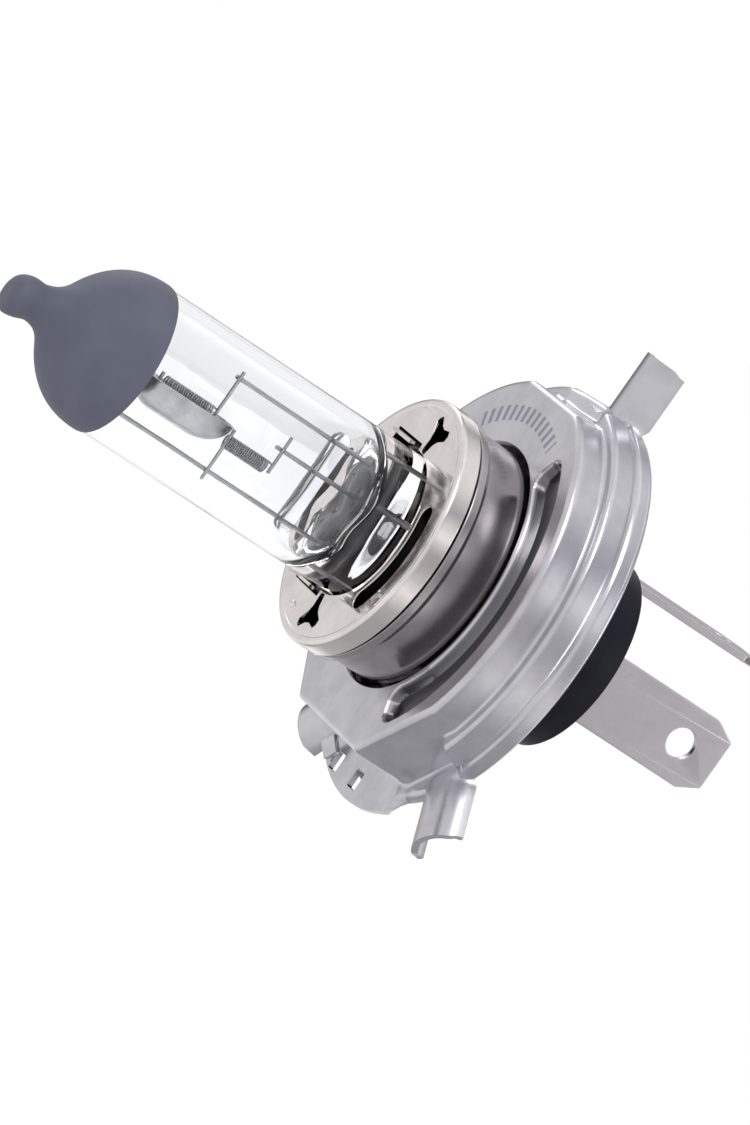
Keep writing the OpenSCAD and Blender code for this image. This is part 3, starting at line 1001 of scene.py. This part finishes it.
class BULB_OT_collar(bpy.types.Operator):
    """Make the polished collar ring, the spring clip, the clamp and the sleeve"""

    bl_idname = "bulb.collar"
    bl_label = "Collar and sleeve"

    def execute(self, context):
        look = context.scene.bulb_cap
        nickel = turned_metal("polished nickel", look.nickel, darker(look.nickel, 0.86), 0.13, 0.04, 0.05)
        spring = turned_metal("spring nickel", look.nickel, darker(look.nickel, 0.8), 0.16, 0.05, 0.06)
        # The sleeve is painted near black inside this radius: painted shade under the collar.
        bare = SLEEVE_R - 0.3
        shade = darker(look.sleeve, 0.82)
        satin = turned_metal("satin sleeve", look.sleeve, shade, 0.2, 0.08, 0.08, painted_shade_radius=bare)
        # The clamp's colour is painted near black: painted shade under the collar.
        hidden = turned_metal("clamp sheet painted dark as shade", darker(look.steel, 0.16), darker(look.steel, 0.08), 0.5)

        front, outer, back = COLLAR_HIGH.x, COLLAR_HIGH.z, COLLAR_LOW.x
        lip = 0.9
        inner = outer - lip - 0.1
        plate_t = 0.3
        holes = [
            collar_hole(GLASS_R + 0.25, 8.95, 7.0),
            sector_points(*ARC_SLOT, *ARC_SLOT_SPAN),
            sector_points(*ARC_SLOT, *(-angle for angle in ARC_SLOT_SPAN)),
            star((1.2, STAR_R), 75, 2.1, 0.52, 0.85),
            star((1.0, -STAR_R), 105, 2.1, 0.52, 0.85),
        ]
        outlines = [ring_points(inner + 0.12, 160)] + holes
        face = flat_plate(outlines, plate_t, 0.07, across_axis(front - 0.06 - plate_t / 2))
        rim = lathe(rounded([
            (inner, front - 0.6, 0.0), (inner, front, 0.28), (outer, front, lip * 0.9), (outer, back, 0.15),
            (outer - 0.45, back, 0.15), (outer - 0.5, front - 0.9, 0.1),
        ], 8), 192)
        dimple = lathe([(0, 0.34), (0.22, 0.28), (0.4, 0.1), (0.44, 0.0), (0.0, 0.0)], 24)
        spot = Vector((front - 0.08, -3.8, -11.1))
        dimple = ([v + spot for v in dimple[0]], dimple[1])
        parts = [make("face", face, 30), make("rim", rim, 50), make("dimple", dimple, 50)]
        collar = merge("collar_ring_polished", *parts)
        settle(collar, "bright_nickel", nickel, "collar_ring")

        clip_front = front - 0.62
        clip_ring = lathe(ring_section(CLIP_RING, clip_front - 0.35, clip_front), 128)
        parts = [make("clip_ring", clip_ring, 40)]
        for side in (1, -1):
            def leaf(i, j, side=side):
                y = blend(-6.2, -1.2, i / 20)
                rise = j / 12
                x = blend(clip_front - 0.3, front + 1.05 - 0.25 * abs(y + 3.7) / 2.5, rise)
                return Vector((x, y, side * (8.47 + 0.1 * math.sin(rise * math.pi) + 0.05 * (1 - rise))))

            strip = make("leaf", grid(21, 13, leaf), crease=60, sheet=True)
            parts.append(thicken(strip, 0.3, 0))
        clip = merge("glass_clip_spring", *parts)
        settle(clip, "spring_nickel", spring, "glass_clip")

        low, high = span("pinch_clamp")
        web_t = 0.6
        slot = oblong((-2.0, -6.6), (2.0, 6.6), 0.5)
        web = flat_plate([ring_points(high.z, 128), slot], web_t, 0.1, across_axis(low.x + web_t / 2))
        parts = [make("web", web, 30)]
        for side in (1, -1):
            jaw = rounded([(low.x, -5.4, 0.4), (high.x, -5.4, 1.2), (high.x, 5.4, 1.2), (low.x, 5.4, 0.4)])
            upright = Matrix.Translation((0, side * 2.25, 0)) @ Matrix.Rotation(math.radians(90), 4, "X")
            parts.append(make("jaw", flat_plate([jaw], web_t, 0.1, upright), 30))
        hoop = ring_section(HOOP, HOOP_BACK, front - 0.42)
        parts.append(make("hoop", lathe(hoop, 128), 40))
        settle(merge("pinch_clamp_sheet", *parts), "clamp_steel", hidden, "pinch_clamp")

        r = SLEEVE_R
        thin = 0.5
        bead = SLEEVE_HIGH.x
        outline = rounded([
            (r - thin, bead, 0.15), (r - 0.05, bead, 0.15), (r, 12.35, 0.12), (r + 0.58, 12.25, 0.22),
            (r + 0.6, 11.3, 0.35), (r + 0.02, 10.95, 0.35), (r, 6.4, 0.3), (r - 0.12, 5.7, 0.2),
            (r - 0.12, -0.5, 0.3), (SLEEVE_HIGH.z, -0.5, 0.1), (SLEEVE_HIGH.z, -1.0, 0.1),
            (r - thin, -1.0, 0.3),
        ], 6)
        settle(make("sleeve_drawn", lathe(outline, 192), 50), "sleeve_steel", satin, "cap_sleeve")
        return {"FINISHED"}


HOLE_R = 13.6
CHANNEL = (14.3, 18.4)
CHANNEL_MIDDLE, CHANNEL_HALF = 88.0, 58.0
CHANNEL_SHORTER = 9.0
CHANNEL_CORNER = 1.5
CHANNEL_DEPTH = 1.0
RIM_R = 20.9
SKIRT_R = 22.2
STEP_X = 2.9
FACE_X = 6.3
REAR_X = -1.6
TONGUE_R = 24.0
TONGUE_HALF = 25.0
FOLD = 18.9
LUG_FLAT = 19.95
LUG_R = FLANGE_HIGH.z
LUG_ANGLES = (0.0, 139.0, -139.0)
LUG_SAG = 3.1
TOP_LUG_W, SIDE_LUG_W = 8.0, 7.0
NOTCH_X = -0.7
NOTCH_HALF = 7.0


def channel_depth(radius, angle):
    """How deep the side channels are at a place on the front face, from 0 to 1."""
    middle = (CHANNEL[0] + CHANNEL[1]) / 2
    half = (CHANNEL[1] - CHANNEL[0]) / 2
    shift = CHANNEL_SHORTER if angle < 0 else 0.0
    reach = abs(abs(angle) - CHANNEL_MIDDLE - shift) - CHANNEL_HALF + shift
    along = math.radians(reach) * radius + CHANNEL_CORNER
    out = abs(radius - middle) - half + CHANNEL_CORNER
    outside = math.hypot(max(along, 0.0), max(out, 0.0)) + min(max(along, out), 0.0) - CHANNEL_CORNER
    return (1 - smooth(-0.5, 0.08, outside)) * blend(1.25, 0.75, (radius - CHANNEL[0]) / (2 * half))


def rim_radius(angle):
    """The front face's outer edge: round, with flats at the lugs and a fold at the tongue."""
    radius = RIM_R
    for centre, flat in [(a, LUG_FLAT) for a in LUG_ANGLES] + [(180.0, FOLD)]:
        off = math.radians(abs((angle - centre + 180) % 360 - 180))
        if off < math.radians(40):
            radius = min(radius, flat / math.cos(off))
    return radius


def lug_notch(angle):
    """How far the step is pressed back at a lug's root, from 0 to 1."""
    off = min(abs(angle), max(0.0, LUG_ANGLES[1] - abs(angle)))
    return 1 - smooth(NOTCH_HALF, NOTCH_HALF + 5.5, off)


def flange_point(station, angle):
    """A point of the flange's front surface. Stations run from the centre hole to the skirt's rear edge."""
    wrapped = (angle + 180) % 360 - 180
    tongue = 1 - smooth(TONGUE_HALF - 1.5, TONGUE_HALF + 0.8, 180 - abs(wrapped))
    kind, share = station
    rim = rim_radius(wrapped)
    dip = lug_notch(wrapped)
    step_x = blend(STEP_X, NOTCH_X, dip)
    foot = blend(step_x + 0.4, 0.45, tongue)
    turn = share * math.pi / 2
    if kind == "face":
        r = blend(HOLE_R, rim - 0.7, share)
        x = FACE_X - CHANNEL_DEPTH * channel_depth(r, wrapped)
        return clock(r, angle, x - 0.3 * (1 - smooth(0.0, 0.04, share)))
    if kind == "rim":
        return clock(rim - 0.7 + 0.7 * math.sin(turn), angle, FACE_X - 0.7 + 0.7 * math.cos(turn))
    if kind == "wall":
        return clock(rim, angle, blend(FACE_X - 0.7, foot, share))
    if kind == "toe":
        return clock(rim + 0.4 * (1 - math.cos(turn)), angle, foot - 0.4 * math.sin(turn))
    if kind == "step":
        ledge = clock(blend(rim + 0.4, SKIRT_R - 0.55, share), angle, step_x)
        flat = clock(blend(rim + 0.4, 22.2, share), angle, 0.05 * (1 - share))
        return ledge.lerp(flat, tongue)
    if kind == "brow":
        ledge = clock(SKIRT_R - 0.55 + 0.55 * math.sin(turn), angle, step_x - 0.55 + 0.55 * math.cos(turn))
        return ledge.lerp(clock(blend(22.2, 23.0, share), angle, 0.0), tongue)
    x = blend(step_x - 0.55, REAR_X, share)
    groove = 0.22 * (smooth(0.35, 0.1, x) - smooth(-0.25, -0.5, x))
    return clock(SKIRT_R - groove, angle, x).lerp(clock(blend(23.0, TONGUE_R, share), angle, 0.0), tongue)


def flange_stations():
    counts = {"face": 46, "rim": 7, "wall": 8, "toe": 5, "step": 6, "brow": 6, "skirt": 24}
    stations = []
    for kind, count in counts.items():
        first = 0 if not stations else 1
        stations += [(kind, i / (count - 1)) for i in range(first, count)]
    return stations


def lug_sheet(angle, width, rows=40, columns=33):
    """A lug pressed to an arch, with a rounded nose where it rises from the step, as a bare sheet."""
    turn = Quaternion((1, 0, 0), -math.radians(angle))
    root = LUG_FLAT - 0.1
    nose = 2.3

    def corner(i, j):
        share = i / (rows - 1)
        across = blend(-1.0, 1.0, j / (columns - 1))
        r = blend(root, LUG_R, share ** 1.3)
        half = width / 2
        lean = 1 - smooth(0.0, nose, r - root)
        sag = LUG_SAG * (1 - math.sqrt(max(0.0, 1 - (0.985 * across) ** 2)))
        sag *= blend(0.25, 1.0, smooth(0.4, 2.6, r - root))
        drop = 0.6 * lean * lean
        trim = 0.3 * smooth(0.8, 1.0, abs(across)) * smooth(0.75, 1.0, share)
        return turn @ Vector((-sag - drop, half * across * (1 - 0.1 * lean), r - trim))

    return grid(rows, columns, corner)


def stamped_plating(name, colour, shade):
    """The flange's plating, with a row of plain stamped dashes round the top of its face and painted shade
    in its recessed side channels.
    """
    shader = Shader(name)
    vector, x, y, z = shader.place()
    radius = (y * y + z * z) ** 0.5
    angle = shader.node("ShaderNodeMath", {"operation": "ARCTAN2"}, {0: y, 1: z}) * math.degrees(1)
    rings = shader.noise(shader.vector(x * 9, radius * 9, 0.0), 1.0, 4.0, 0.7)
    cloud = shader.noise(vector, 0.2, 4.0, 0.6)
    specks = shader.noise(vector, 5.0, 2.0, 0.6)
    in_ring = shader.ramp(radius, TICK_RING[0] - 0.05, TICK_RING[0] + 0.05)
    in_ring = in_ring * (1 - shader.ramp(radius, TICK_RING[1] - 0.05, TICK_RING[1] + 0.05))
    in_span = shader.ramp(angle, TICK_SPAN[0], TICK_SPAN[0] + 0.3)
    in_span = in_span * (1 - shader.ramp(angle, TICK_SPAN[1] - 0.3, TICK_SPAN[1]))
    pitch = 4.4
    phase = shader.node("ShaderNodeMath", {"operation": "PINGPONG"}, {0: angle, 1: pitch / 2})
    dash = 1 - shader.ramp(phase, 0.85, 1.1)
    on_face = shader.ramp(x, FACE_X - 0.2, FACE_X - 0.1)
    marks = dash * in_ring * in_span * on_face
    tint = shader.mix(shader.ramp(cloud, 0.38, 0.68), rgb(colour), rgb(shade))
    tint = shader.mix(shader.ramp(specks, 0.66, 0.8) * 0.25, tint, rgb(darker(colour, 0.55)))
    # Painted shade: the recessed side channels are darkened towards a fifth of the plating's colour.
    low = 1 - shader.ramp(x, FACE_X - 0.3, FACE_X - 0.1)
    low = low * shader.ramp(radius, 14.0, 14.2) * (1 - shader.ramp(radius, 18.4, 18.6))
    tint = shader.mix(low * 0.9, tint, rgb(darker(colour, 0.2)))
    tint = shader.mix(marks * 0.75, tint, (0.14, 0.15, 0.2, 1))
    gloss = 0.24 + (rings - 0.5) * 0.08 + (cloud - 0.5) * 0.12 + marks * 0.25
    height = rings * 0.9 + specks * 0.1 - marks * 3.0
    return shader.surface(
        Base_Color=tint,
        Metallic=1.0 - marks * 0.6,
        Roughness=gloss,
        Normal=shader.bump(height, 0.12, 0.02 * MM),
    )


class BULB_OT_flange(bpy.types.Operator):
    """Make the pressed prefocus flange with its lugs and tongue, and the plate behind it"""

    bl_idname = "bulb.flange"
    bl_label = "Prefocus flange"

    def execute(self, context):
        look = context.scene.bulb_cap
        sheet = look.sheet / MM
        stations = flange_stations()
        columns = 480

        def corner(i, k):
            return flange_point(stations[i], 360 * k / columns)

        body = make("flange_body", grid(len(stations), columns, corner, wrap=True), crease=60, sheet=True)
        body = thicken(body, sheet, -1)
        for y in (0.0, -5.8):
            hole = oblong((y - 1, -22.9), (y + 1, -20.9), 0.2)
            body = carve(body, make("hole", flat_plate([hole], 4.0, 0.01, across_axis(0.0)), 30))
        parts = [body]
        for angle in LUG_ANGLES:
            width = TOP_LUG_W if angle == 0 else SIDE_LUG_W
            parts.append(thicken(make("lug", lug_sheet(angle, width), crease=60, sheet=True), sheet, -1))
        tab = oblong((-1.0, -1.0), (1.0, 1.0), 0.2)
        place = Matrix.Translation(clock(22.4, -161, 0.75)) @ Matrix.Rotation(math.radians(45), 4, "X")
        place = place @ Matrix.Rotation(math.radians(22), 4, "Y") @ across_axis(0.0)
        parts.append(make("tab", flat_plate([tab], 0.6, 0.1, place), 30))
        flange = merge("prefocus_flange_pressed", *parts)
        plating = stamped_plating("flange plating", look.steel, darker(look.steel, 0.84))
        settle(flange, "flange_steel", plating, "prefocus_flange")

        low, high = PLATE_LOW, PLATE_HIGH
        outline = rounded([
            (9.95, high.x, 0.0), (high.z - 1.6, high.x, 0.0), (high.z - 1.3, high.x, 0.1),
            (high.z, high.x, 0.2),
            (high.z, low.x, 0.28), (high.z - 1.0, low.x, 0.2), (high.z - 1.25, low.x + 0.22, 0.1),
            (12.6, low.x + 0.22, 0.1), (12.3, low.x, 0.15), (9.95, low.x, 0.1),
        ], 4)
        plate = make("rear_plate_stamped", lathe(outline, 192), 40)
        back = turned_metal("rear plating", look.steel, darker(look.steel, 0.8), 0.26, 0.1)
        settle(plate, "flange_steel", back, "rear_plate")
        return {"FINISHED"}


# ---------------------------------------------------------------- insulator and contacts

BLADE_T = 0.8
BLADE_HOLE_R = 1.6
BLADE_HOLE_IN = 4.6

class BULB_OT_contacts(bpy.types.Operator):
    """Make the insulator and the three blade contacts"""

    bl_idname = "bulb.contacts"
    bl_label = "Insulator and blades"

    def execute(self, context):
        look = context.scene.bulb_contacts
        low, high = INSULATOR_LOW, INSULATOR_HIGH
        r = high.z
        neck = 9.9
        cover = 1.4
        shell = lathe(rounded([
            (0.0, low.x + cover - 0.3, 0.0), (r - 0.75, low.x + cover - 0.3, 0.0), (r - 0.75, low.x, 0.15),
            (r - 0.15, low.x, 0.3), (r, low.x + 2.2, 0.2), (r, PLATE_LOW.x - 0.02, 0.1),
            (neck, PLATE_LOW.x - 0.02, 0.1),
            (neck, high.x, 0.1), (neck - 0.9, high.x, 0.1), (neck - 0.9, -1.0, 0.1), (0.0, -4.0, 0.0),
        ], 5), 160)
        parts = [make("insulator_shell", shell, 40)]
        gap = 0.16
        slots = []
        blades = {}
        for node in ("blade_low", "blade_high", "blade_ground"):
            a, b = span(node)
            blades[node] = (a, b)
            slots.append(oblong((a.y - gap, a.z - gap), (b.y + gap, b.z + gap), 0.1, 3))
        slots[0] = [(y, min(z, 9.85)) for y, z in slots[0]]
        face_r = r - 0.72
        face = flat_plate([ring_points(face_r, 160)], cover, 0.12, across_axis(low.x + 0.35 + cover / 2))
        face = make("insulator_face", face, 30)
        for slot in slots:
            face = carve(face, make("slot", flat_plate([slot], 6.0, 0.01, across_axis(low.x)), 30))
        parts.append(face)
        black = moulded_plastic("black insulator", look.body, 0.42)
        settle(merge("insulator_moulded", *parts), "black_insulator", black, "insulator")

        tin = look.tin
        for node, (a, b) in blades.items():
            middle = (a + b) / 2
            upright = b.z - a.z > b.y - a.y
            half = max(b.y - a.y, b.z - a.z) / 2
            back, front = a.x, b.x
            outline = rounded([
                (back, -half + 1.2, 0.3), (back + 2.4, -half, 0.5), (-5.0, -half, 0.1), (-5.0, -1.5, 0.1),
                (front, -1.5, 0.2), (front, 1.5, 0.2), (-5.0, 1.5, 0.1), (-5.0, half, 0.1),
                (back + 2.4, half, 0.5), (back, half - 1.2, 0.3),
            ], 4)
            hole = ring_points(BLADE_HOLE_R, 48, (back + BLADE_HOLE_IN, 0.0))
            turn = Matrix.Rotation(math.radians(90 if upright else 0), 4, "X")
            place = Matrix.Translation((0, middle.y, middle.z)) @ turn
            along = (0.35, 5, 5)
            look_metal = drawn_metal(node + " tin plate", tin, darker(tin, 0.86), 0.3, along, 0.15)
            blade = make(node + "_stamped", flat_plate([outline, hole], BLADE_T, look.edge / MM, place), 30)
            settle(blade, "tinned_blade", look_metal, node)
        return {"FINISHED"}


class BULB_OT_hidden(bpy.types.Operator):
    """Give the foils, the outer leads and the solder their finishes"""

    bl_idname = "bulb.hidden"
    bl_label = "Seal foils and joints"

    def execute(self, context):
        grey = (0.45, 0.44, 0.43)
        foil = drawn_metal("seal foil", grey, darker(grey, 0.8), 0.25, (0.5, 5, 5))
        outer = drawn_metal("outer lead wire", grey, darker(grey, 0.7), 0.35, (0.5, 5, 5))
        solder = matt_solder("soft solder")
        looks = {"foil": foil, "outer_lead": outer, "solder": solder}
        finished = 0
        for name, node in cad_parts.items():
            for start, look in looks.items():
                if name.startswith(start):
                    node.data.materials.clear()
                    node.data.materials.append(look)
                    finished += 1
        if not finished:
            raise RuntimeError("the frame has no foils, outer leads or solder")
        return {"FINISHED"}


def matt_solder(name):
    """Bright solder with a frosted skin."""
    shader = Shader(name)
    vector, x, y, z = shader.place()
    frost = shader.noise(vector, 3.0, 4.0, 0.6)
    tint = shader.mix(frost, (0.5, 0.5, 0.52, 1), (0.7, 0.7, 0.72, 1))
    return shader.surface(
        Base_Color=tint,
        Metallic=1.0,
        Roughness=0.25 + frost * 0.2,
        Normal=shader.bump(frost, 0.3, 0.05 * MM),
    )


# ---------------------------------------------------------------- stage


def soft_light(name, direction, distance, size, power, colour=(1, 1, 1)):
    """A square soft box that faces the bulb from a direction."""
    data = bpy.data.lights.new(name, "AREA")
    data.shape = "RECTANGLE"
    data.size, data.size_y = size
    data.energy = power
    data.color = colour
    light = bpy.data.objects.new(name, data)
    direction = Vector(direction).normalized()
    light.location = direction * distance
    light.rotation_mode = "QUATERNION"
    light.rotation_quaternion = direction.to_track_quat("Z", "Y")
    bpy.context.scene.collection.objects.link(light)
    return light


def studio_world():
    """White surroundings for matt surfaces, and banded ones for whatever mirrors them."""
    world = bpy.data.worlds.new("studio")
    world.use_nodes = True
    world.node_tree.nodes.clear()
    shader = Shader.__new__(Shader)
    shader.tree = world.node_tree
    direction = shader.node("ShaderNodeTexCoord", output="Generated")
    parts = shader.node("ShaderNodeSeparateXYZ", inputs={0: direction}).socket.node
    ahead, side, height = (Value(shader, parts.outputs[i]) for i in range(3))
    stops = [
        (0.00, (0.42, 0.42, 0.44, 1)), (0.16, (0.50, 0.50, 0.52, 1)), (0.29, (1.10, 1.10, 1.10, 1)),
        (0.41, (0.55, 0.54, 0.56, 1)),
        (0.49, (0.16, 0.15, 0.17, 1)), (0.57, (0.20, 0.19, 0.21, 1)), (0.68, (1.10, 1.10, 1.12, 1)),
        (0.83, (0.42, 0.42, 0.46, 1)), (1.00, (1.10, 1.10, 1.10, 1)),
    ]
    tone = shader.node("ShaderNodeValToRGB", {"stops": stops}, {0: height * 0.5 + 0.5})
    front = shader.ramp(side, 0.75, 1.0) * 0.85
    tone = shader.mix(front, tone, (0.72, 0.72, 0.74, 1))
    tone = shader.mix(shader.ramp(ahead, 0.05, 0.4) * 0.85, tone, (0.92, 0.92, 0.93, 1))
    rays = shader.node("ShaderNodeLightPath").socket.node
    mirror = Value(shader, rays.outputs["Is Glossy Ray"])
    past_glass = shader.ramp(Value(shader, rays.outputs["Transmission Depth"]), 0.0, 1.0)
    seen = shader.mix(mirror * (1 - past_glass * 0.75), (1.07, 1.07, 1.07, 1), tone)
    glow = shader.node("ShaderNodeBackground", None, {"Color": seen, "Strength": 1.0})
    shader.node("ShaderNodeOutputWorld", None, {"Surface": glow})
    bpy.context.scene.world = world


class BULB_OT_stage(bpy.types.Operator):
    """Make the pale floor, the soft lights and the camera"""

    bl_idname = "bulb.stage"
    bl_label = "Floor, lights and camera"

    def execute(self, context):
        stage = context.scene.bulb_stage
        studio_world()
        floor_shader = Shader("pale floor")
        vector, x, y, z = floor_shader.place()
        cloud = floor_shader.noise(vector, 0.01, 3.0, 0.5)
        tone = floor_shader.mix(cloud, (0.945, 0.945, 0.945, 1), (0.96, 0.96, 0.96, 1))
        material = floor_shader.surface(Base_Color=tone, Roughness=0.9)
        half = 9000.0
        floor_mesh = bpy.data.meshes.new("floor")
        drop = -stage.drop / MM
        corners = [(-half, -half, drop), (half, -half, drop), (half, half, drop), (-half, half, drop)]
        floor_mesh.from_pydata([tuple(Vector(c) * MM) for c in corners], [], [(0, 1, 2, 3)])
        floor = bpy.data.objects.new("floor", floor_mesh)
        floor.data.materials.append(material)
        context.scene.collection.objects.link(floor)
        floor.visible_glossy = False

        soft_light("key_box", (0.55, 0.6, 1.0), 0.6, (0.4, 0.25), 0.8)
        soft_light("side_box", (-0.9, 0.9, 0.25), 0.6, (0.12, 0.45), 0.5)
        soft_light("rear_box", (0.2, -1.0, 0.7), 0.7, (0.4, 0.2), 0.5)

        back = Vector((
            math.cos(stage.elevation) * math.cos(stage.azimuth),
            math.cos(stage.elevation) * math.sin(stage.azimuth),
            math.sin(stage.elevation),
        ))
        data = bpy.data.cameras.new("camera")
        data.lens = stage.lens
        data.sensor_width = 36
        data.clip_start, data.clip_end = 0.01, 100
        camera = bpy.data.objects.new("camera", data)
        camera.rotation_mode = "QUATERNION"
        camera.rotation_quaternion = back.to_track_quat("Z", "Y") @ Quaternion((0, 0, 1), stage.roll)
        camera.location = Vector(stage.aim) + back * stage.distance
        context.scene.collection.objects.link(camera)
        context.scene.camera = camera
        context.scene.view_settings.view_transform = "Standard"
        return {"FINISHED"}


# ---------------------------------------------------------------- panel and registration

OPERATORS = (
    BULB_OT_stage, BULB_OT_glass, BULB_OT_filaments, BULB_OT_shield, BULB_OT_collar, BULB_OT_flange,
    BULB_OT_contacts, BULB_OT_hidden,
)
GROUPS = {
    "bulb_glass": BulbGlass,
    "bulb_filaments": BulbFilaments,
    "bulb_cap": BulbCap,
    "bulb_contacts": BulbContacts,
    "bulb_stage": BulbStage,
}


class BULB_PT_panel(bpy.types.Panel):
    """Lists the bulb's operators and the sizes and colours that they use"""

    bl_idname = "BULB_PT_panel"
    bl_label = "Headlight Bulb"
    bl_space_type = "VIEW_3D"
    bl_region_type = "UI"
    bl_category = "Bulb"

    def draw(self, context):
        for group in GROUPS:
            box = self.layout.box()
            settings = getattr(context.scene, group)
            for key in settings.__annotations__:
                box.prop(settings, key)
        for operator in OPERATORS:
            self.layout.operator(operator.bl_idname)


def register():
    for group, kind in GROUPS.items():
        bpy.utils.register_class(kind)
        setattr(bpy.types.Scene, group, PointerProperty(type=kind))
    for kind in OPERATORS:
        bpy.utils.register_class(kind)
    bpy.utils.register_class(BULB_PT_panel)


def unregister():
    bpy.utils.unregister_class(BULB_PT_panel)
    for kind in reversed(OPERATORS):
        bpy.utils.unregister_class(kind)
    for group, kind in GROUPS.items():
        delattr(bpy.types.Scene, group)
        bpy.utils.unregister_class(kind)


def main():
    register()
    for operator in OPERATORS:
        group, name = operator.bl_idname.split(".")
        getattr(getattr(bpy.ops, group), name)()


if __name__ == "__main__":
    main()
